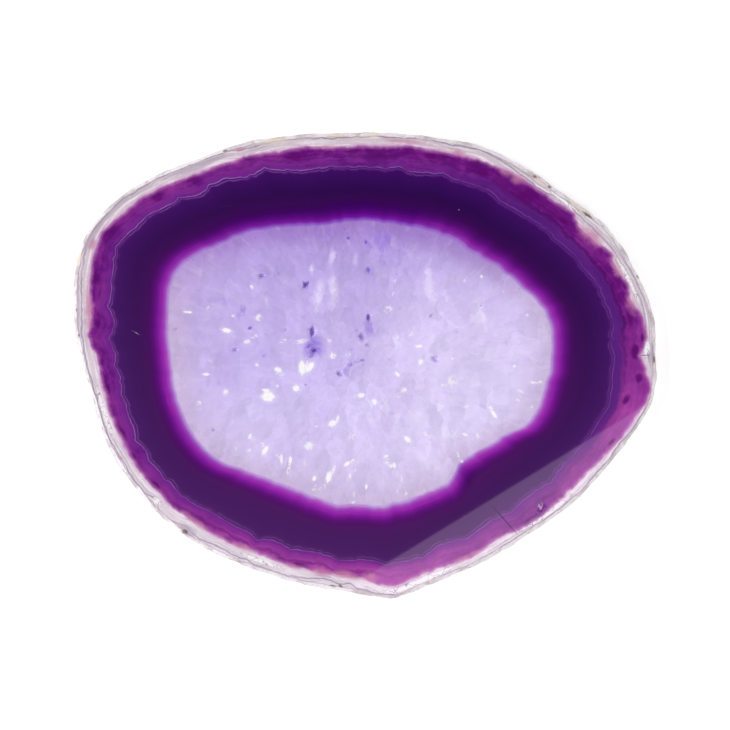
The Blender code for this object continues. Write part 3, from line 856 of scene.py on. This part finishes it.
def undyed_rind(node, at, stone):
    """The stone with its rind: pink where the dye thins, then white and grey layers with
    fine veins, patches and specks, and a grey line of painted shade along the very edge of the face."""
    wobble = node("Math", at.middling, 0.9, operation="MULTIPLY")
    uneven = node("Math", at.fine, 0.12, wobble, operation="MULTIPLY_ADD")
    from_front = node("Math", node("Math", uneven, 0.51, operation="SUBTRACT"), at.from_front)
    fading = node("MapRange", from_front, -0.7, 0.1, 0.0, 0.7, **SMOOTH)
    stone = node("Mix", fading, stone, "#B870B2", **BLEND)
    rind = node("Mix", node("MapRange", at.y, -0.025, 0.025), "#E2D2E0", "#D3C3CE", **BLEND)
    winding = node("Math", at.slow, 1.3, wobble, operation="MULTIPLY_ADD")
    from_vein = node("Math", winding, node("Math", at.from_vein, 1.1, operation="SUBTRACT"))
    laid = at.layers["from_vein"]
    for share, colour in (
        (node("MapRange", from_front, 0.8, 0.0, 0.0, 0.8, **SMOOTH), "#D2A2CE"),
        (node("MapRange", laid, 0.50, 0.62, 0.0, 0.65, **SMOOTH), "#F4ECF3"),
        (node("MapRange", laid, 0.44, 0.34, 0.0, 0.3, **SMOOTH), "#B9A9BE"),
        (node("MapRange", at.fine, 0.56, 0.72, 0.0, 0.45, **SMOOTH), "#CFC0B4"),
        (node("MapRange", at.fine, 0.44, 0.28, 0.0, 0.4, **SMOOTH), "#F7F2F6"),
        # Painted shade: grey darkening over the last 0.28 mm of the face towards its edge
        (node("MapRange", at.from_edge, -0.28, -0.04, 0.0, 0.6, **SMOOTH), "#A89CA8"),
    ):
        rind = node("Mix", share, rind, colour, **BLEND)
    for middle, low, high, strength in (
            (0.0, 0.3, 0.45, 0.72), (0.55, 0.62, 0.5, 0.4), (-0.5, 0.45, 0.6, 0.35)):
        vein = node("Math", node("MapRange", from_vein, middle - 0.27, middle, **SMOOTH),
                    node("MapRange", from_vein, middle + 0.2, middle, **SMOOTH), operation="MULTIPLY")
        shown = node("MapRange", at.slow, low, high, 0.15 * strength, strength)
        vein = node("Math", vein, shown, operation="MULTIPLY")
        rind = node("Mix", vein, rind, "#81778F", **BLEND)
    for name, rough, low, high, most, colour in (
        ("cream", at.fine, 0.25, 1.3, 0.75, "#DFCDC2"), ("dusk", at.middling, 0.0, 0.9, 0.6, "#A897AC"),
        ("frost", at.fine, 0.45, 1.0, 0.85, "#F8F4F8"), ("rust", at.fine, 0.5, 0.95, 0.85, "#5E5142"),
    ):
        spot = node("Math", rough, 1.0, getattr(at, name), operation="MULTIPLY_ADD")
        spot = node("MapRange", spot, low, high, 0.0, most, **SMOOTH)
        rind = node("Mix", spot, rind, colour, **BLEND)
    scribble = node("TexNoise", at.place, per_metre(1.176), 1.0).outputs["Fac"]
    scribble = node("Math", scribble, 0.5, operation="SUBTRACT")
    scribble = node("MapRange", node("Math", scribble, operation="ABSOLUTE"), 0.022, 0.004)
    scribble = node("Math", scribble, node("MapRange", at.frost, -0.5, 0.1, 0.0, 0.75),
                    operation="MULTIPLY")
    rind = node("Mix", scribble, rind, "#877D92", **BLEND)
    stone = node("Mix", node("MapRange", from_front, -0.2, 0.4, **SMOOTH), stone, rind, **BLEND)
    blush = node("Math", at.middling, 2.2, at.blush, operation="MULTIPLY_ADD")
    blush = node("MapRange", blush, 0.6, 2.2, 0.0, 0.75, **SMOOTH)
    stone = node("Mix", blush, stone, "#BF789F", **BLEND)
    return stone


def crystals(node, at, stone):
    """The stone with its crystal faces and cracks: an angular outline from a mark's two
    axes, broken up into splinters that lie along it, with a soft halo. Those with a tone
    above 0 are painted glints, white highlights with a pale halo where crystal faces catch
    the light; the violet faces and cracks below 0 are the stone's own colour."""
    axes = node("SeparateXYZ", node("VectorMath", at.crystal, operation="ABSOLUTE"))
    along, across = axes.outputs["X"], axes.outputs["Y"]
    sides = node("Math", across, 0.55, along, operation="MULTIPLY_ADD")
    sides = node("Math", sides, across, operation="MAXIMUM")
    sides = node("Math", sides, axes.outputs["Z"])
    sides = node("Math", at.fine, 0.4, sides, operation="MULTIPLY_ADD")
    bits = node("VectorMath", at.crystal, (1.5, 1.9, 0.0), operation="MULTIPLY")
    apart = node("VectorMath", at.place, (per_metre(2.5), per_metre(2.5), 0.0), operation="MULTIPLY")
    bits = node("TexVoronoi", node("VectorMath", bits, apart), 1.0).outputs["Color"]
    strong = node("Math", at.crystal_tone, operation="ABSOLUTE")
    whole = node("MapRange", node("Math", strong, 1.0, bits, operation="MULTIPLY_ADD"), 0.82, 0.95)
    tone = node("MapRange", bits, 0.0, 1.0, 0.7, 1.1)
    tone = node("Math", at.crystal_tone, tone, operation="MULTIPLY")
    inside = node("Math", node("MapRange", sides, 1.36, 0.92), whole, operation="MULTIPLY")
    around = node("MapRange", sides, 2.2, 0.9, 0.0, 0.4, **SMOOTH)
    crack = node("MapRange", tone, -1.5, -2.0)
    halo = node("Mix", crack, "#8B68D0", "#4A2456", **BLEND)
    body = node("Mix", crack, "#6A4CB0", "#220A40", **BLEND)
    # Painted glints: a pale halo and a white highlight where the tone is above 0; below 0 the violet
    # faces and dark cracks with their violet halo
    for share, low, high, colour in (
        (around, 0.2, 0.9, "#E9E2F8"), (around, -0.2, -0.9, halo), (inside, 0.0, 0.9, "#FCF9FB"),
        (inside, -0.1, -1.1, body)):
        share = node("Math", share, node("MapRange", tone, low, high), operation="MULTIPLY")
        stone = node("Mix", share, stone, colour, **BLEND)
    return stone


def polished_agate():
    """Dyed agate, ground flat and polished to a wet gloss.

    To the eye: a milky lavender quartz heart of faintly shaded plates, with painted glints,
    white highlights painted where crystal faces catch the light, and violet crystal faces, a
    magenta fringe, bands from indigo to purple with a thin scalloped light line, pink where
    the dye thins, and an undyed white rind with fine grey lines and painted shade along the
    face's edge. Over it all lies a clear, sharp reflection.
    """
    material, node = new_material("polished_agate")
    at = read_stone(node)
    quartz, stone = milky_quartz(node, at), dyed_bands(node, at)
    edge = node("Math", at.fine, 0.3, at.from_quartz, operation="MULTIPLY_ADD")
    stone = node("Mix", node("MapRange", edge, -0.45, 0.2, **SMOOTH), quartz, stone, **BLEND)
    stone = crystals(node, at, undyed_rind(node, at, stone))
    shader = node("BsdfPrincipled", stone, sockets={
        "Roughness": 0.012, "IOR": 1.54, "Specular Tint": "#F2CFF4"})
    node("OutputMaterial", shader)
    return material


def raw_rind():
    """The nodule's weathered skin, as it came out of the ground.

    To the eye: dull, chalky and pale, grey to pinkish, with brown iron specks in its
    hollows and a breath of purple where the dye got into the cracks.
    """
    material, node = new_material("raw_rind")
    place = node("TexCoord").outputs["Object"]
    slow = node("TexNoise", place, per_metre(4.545), 4.0, 0.6).outputs["Fac"]
    middling = node("TexNoise", place, per_metre(1.613), 4.0, 0.6).outputs["Fac"]
    fine = node("TexNoise", place, per_metre(0.5263), 4.0, 0.65).outputs["Fac"]
    skin = "#C4B7BF"
    for share, colour in (
        (node("MapRange", slow, 0.36, 0.54, **SMOOTH), "#EAE2E8"),
        (node("MapRange", middling, 0.54, 0.70, 0.0, 0.6, **SMOOTH), "#A8957F"),
        (node("MapRange", middling, 0.42, 0.28, 0.0, 0.45, **SMOOTH), "#A98DBC"),
        (node("MapRange", fine, 0.58, 0.75, 0.0, 0.6, **SMOOTH), "#8A7A70"),
    ):
        skin = node("Mix", share, skin, colour, **BLEND)
    for name, colour in (("dusk", "#9A8A9C"), ("cream", "#E6D6C4"), ("rust", "#5E5142")):
        stain = node("Attribute", attribute_name=name).outputs["Fac"]
        stain = node("Math", fine, 1.0, stain, operation="MULTIPLY_ADD")
        stain = node("MapRange", stain, 0.35, 0.95, 0.0, 0.85, **SMOOTH)
        skin = node("Mix", stain, skin, colour, **BLEND)
    bump = node("Bump", 0.8, 0.3 * MM, None, fine)
    shader = node("BsdfPrincipled", skin, sockets={"Roughness": 0.7, "IOR": 1.54, "Normal": bump})
    node("OutputMaterial", shader)
    return material


def pale_floor():
    """White acrylic sheet, matt, lit a little from behind as on a light table."""
    material, node = new_material("pale_floor")
    shader = node("BsdfPrincipled", "#F4F4F4", sockets={
        "Roughness": 0.8, "Specular IOR Level": 0.1,
        "Emission Color": "#FFFFFF", "Emission Strength": 0.35,
    })
    node("OutputMaterial", shader)
    return material


def studio_world():
    """White cove light: full brightness low down, nearly black straight overhead, so
    that the polished face mirrors a dark ceiling."""
    world = bpy.data.worlds.new("studio")
    world.use_nodes = True
    tree = world.node_tree
    tree.nodes.clear()
    node = functools.partial(add, tree)
    up = node("SeparateXYZ", node("TexCoord").outputs["Generated"]).outputs["Z"]
    light = node("MapRange", up, 0.3, 0.97, 1.0, 0.02)
    background = node("Background", "#FFFFFF", light)
    node("OutputWorld", background)
    bpy.context.scene.world = world


def softbox(name, place, size, watts, turn):
    """A square soft light at a place in metres, aimed by its turn in degrees."""
    lamp = bpy.data.lights.new(name, "AREA")
    lamp.shape, lamp.size, lamp.energy = "SQUARE", size, watts
    light = bpy.data.objects.new(name, lamp)
    light.location = place
    light.rotation_euler = [math.radians(a) for a in turn]
    bpy.context.collection.objects.link(light)


def stage():
    """Floor, lights and camera. The floor lies a hair below the slab, and the polish
    mirrors one edge of the key light."""
    floor = bpy.data.meshes.new("floor")
    reach, gap = 6.0, 0.1 * MM
    floor.from_pydata([(-reach, -reach, 0), (reach, -reach, 0), (reach, reach, 0), (-reach, reach, 0)],
                      [], [(0, 1, 2, 3)])
    floor.materials.append(pale_floor())
    ground = bpy.data.objects.new("floor", floor)
    ground.location.z = -gap
    bpy.context.collection.objects.link(ground)
    studio_world()
    softbox("key", (0.3626, -0.5899, 1.6), 1.2, 9.0, (0, 0, -58.5))
    softbox("left", (-1.25, 0.1, 1.25), 1.1, 17.0, (0, -45, 0))
    softbox("top_right", (0.8, 1.0, 1.25), 1.1, 17.0, (45, 0, -38))

    camera = bpy.data.cameras.new("camera")
    camera.sensor_width, camera.lens = 36.0, 230.4
    camera.clip_start = 0.01
    viewer = bpy.data.objects.new("camera", camera)
    viewer.location = (0.0, 0.00009, 0.8035)
    bpy.context.collection.objects.link(viewer)
    scene = bpy.context.scene
    scene.camera = viewer
    scene.view_settings.view_transform = "Standard"


agate_slab = slab(*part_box("agate_slice"))
for finish in (polished_agate(), raw_rind()):
    agate_slab.data.materials.append(finish)
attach(agate_slab, "root")
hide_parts("agate_slice")
stage()
